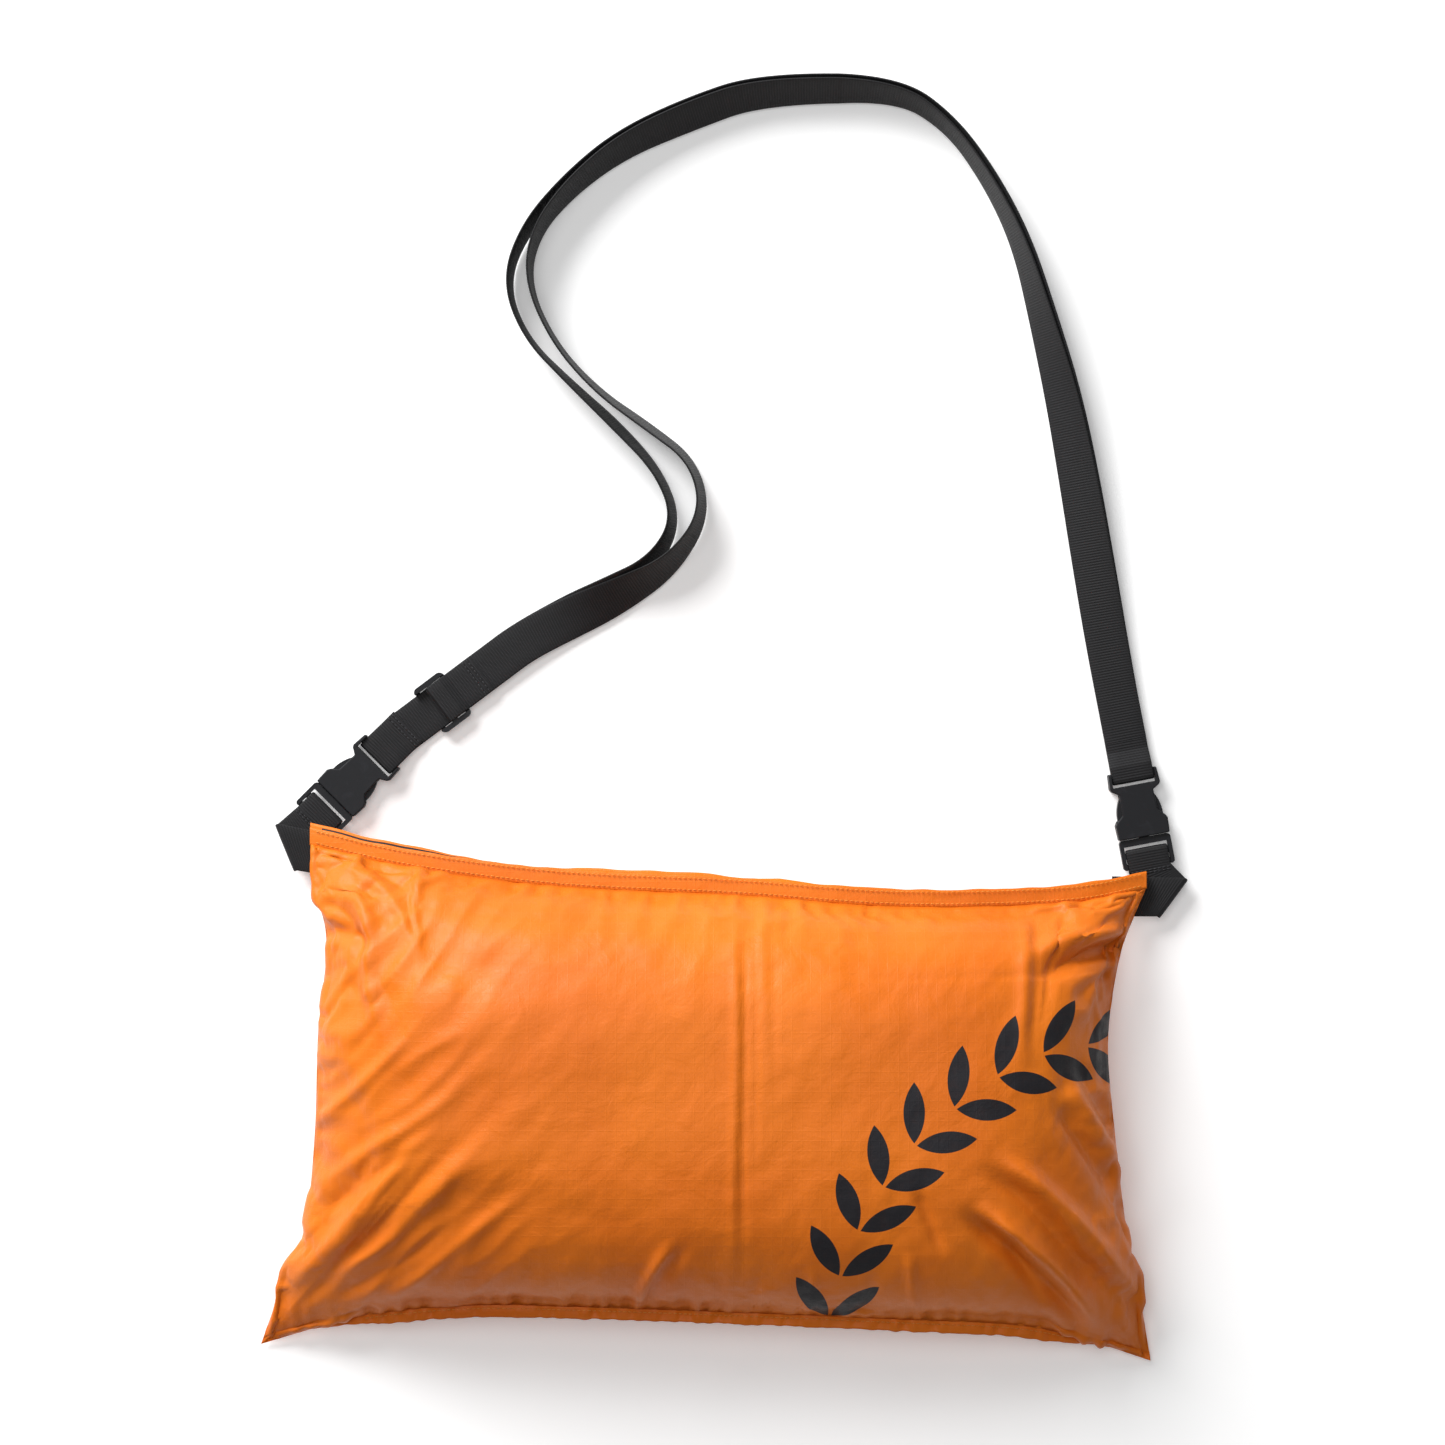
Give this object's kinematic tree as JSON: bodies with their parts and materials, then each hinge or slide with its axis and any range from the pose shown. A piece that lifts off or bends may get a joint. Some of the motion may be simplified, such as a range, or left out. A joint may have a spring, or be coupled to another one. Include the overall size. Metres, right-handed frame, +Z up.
{
  "type": "stuff sack",
  "caption": "Stuffed ripstop nylon sack lying flat, with a folded mouth and a long doubled webbing shoulder strap clipped to both mouth corners.",
  "frame": {"origin": "middle of the sack's flat underside, on the surface it lies on", "axes": "+X along the sack's width, from its left side to its right; +Y towards the mouth and strap; +Z up"},
  "size_m": [0.556, 0.7759, 0.0951],
  "materials": {
    "ripstop_nylon": "thin coated ripstop nylon, satin",
    "seam_tape": "nylon binding tape",
    "packed_fill": "soft folded textile load",
    "stiffener": "flexible black mouth tape",
    "webbing": "ribbed nylon webbing, low sheen",
    "thread": "bonded polyester thread",
    "acetal": "moulded acetal, fine satin"
  },
  "bodies": {
    "sack": {"front_panel": "ripstop_nylon", "back_panel": "ripstop_nylon", "packed_contents": "packed_fill", "mouth_hem_front": "ripstop_nylon", "mouth_stiffener": "stiffener", "mouth_hem_back": "ripstop_nylon", "bottom_hem": "ripstop_nylon", "side_seam_left": "seam_tape", "side_seam_right": "seam_tape", "tab_left": "webbing", "tab_right": "webbing", "tab_stitching_left": "thread", "tab_stitching_right": "thread", "buckle_plug_left": "acetal", "buckle_plug_right": "acetal", "strap_lower_left": "webbing", "strap_upper_left": "webbing", "strap_lower_right": "webbing", "strap_upper_right": "webbing"},
    "left_strap_end": {"buckle_socket_left": "acetal", "strap_anchor": "webbing", "anchor_stitching": "thread"},
    "right_strap_end": {"buckle_socket_right": "acetal", "strap_turn": "webbing"},
    "tri_glide": {"tri_glide": "acetal", "strap_end_loop": "webbing", "end_loop_stitching": "thread"},
    "prong_left_outer": {"prong_left_outer": "acetal"},
    "prong_left_inner": {"prong_left_inner": "acetal"},
    "prong_right_inner": {"prong_right_inner": "acetal"},
    "prong_right_outer": {"prong_right_outer": "acetal"}
  },
  "joints": [
    {"name": "left_buckle_release", "type": "slide", "parent": "sack", "child": "left_strap_end", "axis": [0.7071, 0.7071, 0], "range_m": [0, 0.03], "deforming": ["strap_lower_left", "strap_upper_left"]},
    {"name": "prong_left_outer_flex", "type": "hinge", "parent": "sack", "child": "prong_left_outer", "pos_m": [-0.23464, 0.18681, 0.005], "axis": [0, 0, -1], "range_deg": [0, 8]},
    {"name": "prong_left_inner_flex", "type": "hinge", "parent": "sack", "child": "prong_left_inner", "pos_m": [-0.21739, 0.16956, 0.005], "axis": [0, 0, 1], "range_deg": [0, 8]},
    {"name": "right_buckle_release", "type": "slide", "parent": "sack", "child": "right_strap_end", "axis": [-0.1857, 0.9826, 0], "range_m": [0, 0.03], "deforming": ["strap_lower_right", "strap_upper_right"]},
    {"name": "prong_right_inner_flex", "type": "hinge", "parent": "sack", "child": "prong_right_inner", "pos_m": [0.24541, 0.15373, 0.005], "axis": [0, 0, -1], "range_deg": [0, 8]},
    {"name": "prong_right_outer_flex", "type": "hinge", "parent": "sack", "child": "prong_right_outer", "pos_m": [0.26938, 0.15826, 0.005], "axis": [0, 0, 1], "range_deg": [0, 8]},
    {"name": "tri_glide_slide", "type": "slide", "parent": "left_strap_end", "child": "tri_glide", "axis": [0.8, 0.6, 0], "range_m": [0, 0.04]}
  ],
  "couplings": [
    {"joint": "prong_left_outer_flex", "follows": "left_buckle_release", "rad_per_m": 4.6},
    {"joint": "prong_left_inner_flex", "follows": "left_buckle_release", "rad_per_m": 4.6},
    {"joint": "prong_right_inner_flex", "follows": "right_buckle_release", "rad_per_m": 4.6},
    {"joint": "prong_right_outer_flex", "follows": "right_buckle_release", "rad_per_m": 4.6}
  ]
}
